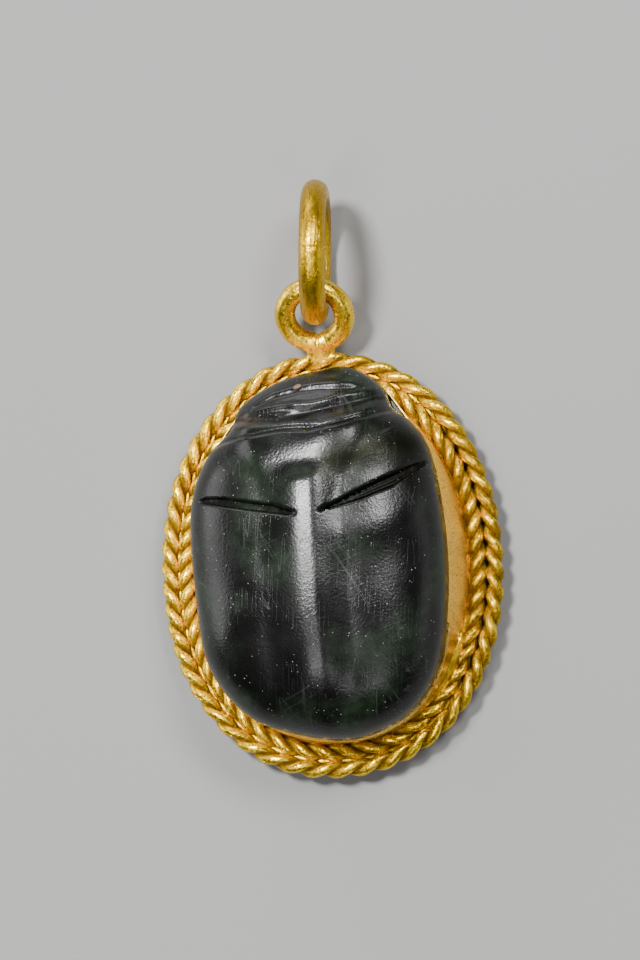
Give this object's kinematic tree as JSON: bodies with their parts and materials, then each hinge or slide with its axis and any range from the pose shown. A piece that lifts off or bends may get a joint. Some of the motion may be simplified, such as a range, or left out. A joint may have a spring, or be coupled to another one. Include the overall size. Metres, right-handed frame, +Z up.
{
  "type": "scarab amulet",
  "caption": "Carved stone beetle in an open-backed gold bezel bordered by twisted wires, with a soldered eyelet and a loose jump ring, lying flat.",
  "frame": {"origin": "on the surface the amulet lies on, under the middle of its overall length and width", "axes": "+Y along the length towards the beetle's head and the jump ring, +X to the beetle's right as seen from above, +Z up out of the carved back"},
  "size_m": [0.0174, 0.0298, 0.0086],
  "materials": {
    "green_stone": "polished near-black green stone, scratched and lightly pitted",
    "bezel_gold": "satin gold strip, about 22 carat, worn",
    "wire_gold": "polished gold wire, about 22 carat, grime in the hollows",
    "ring_gold": "polished gold ring wire, about 22 carat, pitted and worn"
  },
  "bodies": {
    "root": {"scarab": "green_stone", "bezel_collar": "bezel_gold", "inner_twisted_wire": "wire_gold", "outer_twisted_wire": "wire_gold", "eyelet": "ring_gold", "jump_ring": "ring_gold"}
  },
  "joints": []
}
